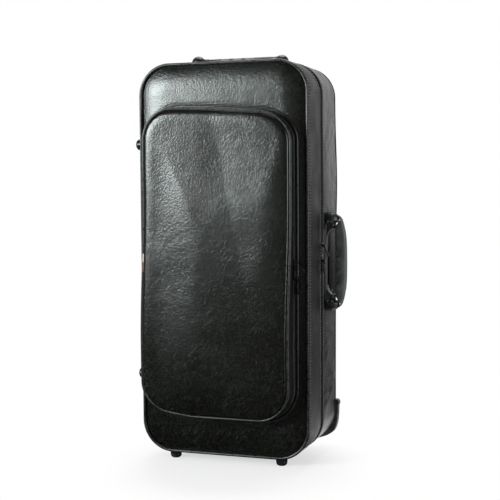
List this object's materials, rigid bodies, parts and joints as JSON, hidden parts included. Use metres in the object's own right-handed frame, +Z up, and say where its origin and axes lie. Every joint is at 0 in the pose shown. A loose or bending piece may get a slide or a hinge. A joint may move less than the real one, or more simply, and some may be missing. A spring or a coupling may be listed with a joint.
{
  "type": "double trumpet case",
  "caption": "Upright soft-cornered instrument case in black leather with a zipped lid, a zipped front pocket, swing handles, feet, studs and a fitted plush inside.",
  "frame": {"origin": "on the floor under the centre of the case's bounding box", "axes": "+Z up along the case's height, +Y to the back, from the pocket to the rear shell, +X to the right, towards the side handle"},
  "size_m": [0.3044, 0.2006, 0.6118],
  "materials": {
    "leather_cover": "glossy crumpled black leather",
    "edge_piping": "glossy black leather over cord",
    "shell_board": "raw fibreboard",
    "zip_teeth": "black spiral teeth on woven tape",
    "zip_metal": "black lacquered die-cast zinc",
    "handle_plastic": "black moulded plastic, satin",
    "stud_plastic": "polished black",
    "bright_steel": "zinc-plated steel",
    "plush_lining": "dark grey plush over foam",
    "strap_webbing": "black woven tape",
    "seam_tab_cloth": "plain red woven tab"
  },
  "bodies": {
    "rear_half": {"rear_side_cover": "leather_cover", "rear_back_cover": "leather_cover", "rear_board": "shell_board", "rear_frame": "shell_board", "rear_edge_piping": "edge_piping", "main_zip_rear_half": "zip_teeth", "hinge_leaf_rear": "leather_cover", "corner_guard_right": "handle_plastic", "corner_guard_left": "handle_plastic", "corner_guard_screws": "bright_steel", "foam_bed": "plush_lining", "hold_down_strap_lower": "strap_webbing", "hold_down_strap_upper": "strap_webbing", "strap_hook_patches": "strap_webbing", "mouthpiece_block": "plush_lining", "foot_rear_right": "stud_plastic", "foot_rear_left": "stud_plastic", "stud_rear_upper": "stud_plastic", "stud_rear_lower": "stud_plastic", "side_handle_base": "handle_plastic", "side_handle_pins": "bright_steel", "side_handle_backplate": "bright_steel", "side_handle_screws": "bright_steel", "top_handle_base": "handle_plastic", "top_handle_pins": "bright_steel", "top_handle_backplate": "bright_steel", "top_handle_screws": "bright_steel"},
    "lid": {"lid_front_cover": "leather_cover", "lid_side_cover": "leather_cover", "lid_board": "shell_board", "lid_frame": "shell_board", "lid_pad": "plush_lining", "front_edge_piping": "edge_piping", "main_zip_lid_half": "zip_teeth", "hinge_leaf_lid": "leather_cover", "pocket_panel_fixed": "leather_cover", "pocket_front_cord_fixed": "edge_piping", "pocket_wall_fixed": "leather_cover", "pocket_base_band": "leather_cover", "pocket_base_cord": "edge_piping", "pocket_zip_base_half": "zip_teeth", "pocket_seam_tab": "seam_tab_cloth", "foot_front_right": "stud_plastic", "foot_front_left": "stud_plastic", "stud_lid_upper": "stud_plastic", "stud_lid_lower": "stud_plastic"},
    "pocket_flap": {"pocket_panel_flap": "leather_cover", "pocket_front_cord_flap": "edge_piping", "pocket_wall_flap": "leather_cover", "pocket_zip_flap_half": "zip_teeth"},
    "side_grip": {"side_handle_grip": "handle_plastic"},
    "top_grip": {"top_handle_grip": "handle_plastic"},
    "main_slider_upper": {"main_slider_upper": "zip_metal"},
    "main_pull_upper": {"main_pull_upper": "zip_metal"},
    "main_slider_lower": {"main_slider_lower": "zip_metal"},
    "main_pull_lower": {"main_pull_lower": "zip_metal"},
    "pocket_slider_upper": {"pocket_slider_upper": "zip_metal"},
    "pocket_pull_upper": {"pocket_pull_upper": "zip_metal"},
    "pocket_slider_lower": {"pocket_slider_lower": "zip_metal"},
    "pocket_pull_lower": {"pocket_pull_lower": "zip_metal"}
  },
  "joints": [
    {"name": "lid_hinge", "type": "hinge", "parent": "rear_half", "child": "lid", "pos_m": [-0.1414, 0.00515, 0.302], "axis": [0, 0, -1], "range_deg": [0, 145]},
    {"name": "pocket_flap_fold", "type": "hinge", "parent": "lid", "child": "pocket_flap", "pos_m": [-0.05985, -0.10045, 0.2995], "axis": [0, 0, -1], "range_deg": [0, 75]},
    {"name": "side_grip_swing", "type": "hinge", "parent": "rear_half", "child": "side_grip", "pos_m": [0.1293, 0.03615, 0.2961], "axis": [0, 0, 1], "range_deg": [-90, 90]},
    {"name": "top_grip_swing", "type": "hinge", "parent": "rear_half", "child": "top_grip", "pos_m": [-0.01485, 0.03215, 0.6008], "axis": [1, 0, 0], "range_deg": [0, 180]},
    {"name": "main_slider_upper_travel", "type": "slide", "parent": "rear_half", "child": "main_slider_upper", "axis": [0, 0, 1], "range_m": [0, 0.21]},
    {"name": "main_pull_upper_swing", "type": "hinge", "parent": "main_slider_upper", "child": "main_pull_upper", "pos_m": [0.1253, 0.00515, 0.3219], "axis": [0, -1, 0], "range_deg": [-24, 110]},
    {"name": "main_slider_lower_travel", "type": "slide", "parent": "rear_half", "child": "main_slider_lower", "axis": [0, 0, 1], "range_m": [-0.22, 0]},
    {"name": "main_pull_lower_swing", "type": "hinge", "parent": "main_slider_lower", "child": "main_pull_lower", "pos_m": [0.1253, 0.00515, 0.2991], "axis": [0, -1, 0], "range_deg": [0, 95]},
    {"name": "pocket_slider_upper_travel", "type": "slide", "parent": "lid", "child": "pocket_slider_upper", "axis": [0, 0, 1], "range_m": [0, 0.168]},
    {"name": "pocket_pull_upper_swing", "type": "hinge", "parent": "pocket_slider_upper", "child": "pocket_pull_upper", "pos_m": [0.10713, -0.07235, 0.3024], "axis": [0, -1, 0], "range_deg": [0, 110]},
    {"name": "pocket_slider_lower_travel", "type": "slide", "parent": "lid", "child": "pocket_slider_lower", "axis": [0, 0, 1], "range_m": [-0.152, 0]},
    {"name": "pocket_pull_lower_swing", "type": "hinge", "parent": "pocket_slider_lower", "child": "pocket_pull_lower", "pos_m": [0.10713, -0.07235, 0.2796], "axis": [0, -1, 0], "range_deg": [0, 95]}
  ]
}
